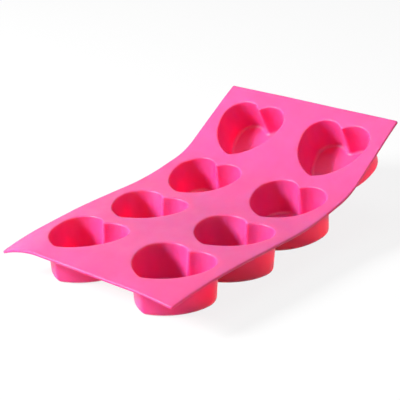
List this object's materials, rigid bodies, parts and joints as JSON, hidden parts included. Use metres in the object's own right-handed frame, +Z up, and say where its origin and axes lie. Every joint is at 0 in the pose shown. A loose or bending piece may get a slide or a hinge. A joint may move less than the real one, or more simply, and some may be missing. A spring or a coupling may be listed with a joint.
{
  "type": "silicone baking mould",
  "caption": "Soft rectangular silicone sheet with rows of deep heart-shaped cups, its far end curling up.",
  "frame": {"origin": "bottom centre of the part's box, on the surface that it stands on", "axes": "+X along the sheet, from the near end that lies flat to the far end that curls up; +Y across it; +Z up"},
  "size_m": [0.289, 0.175, 0.0876],
  "materials": {
    "silicone": "matte silicone, hot pink"
  },
  "bodies": {
    "root": {"heart_mould": "silicone"}
  },
  "joints": []
}
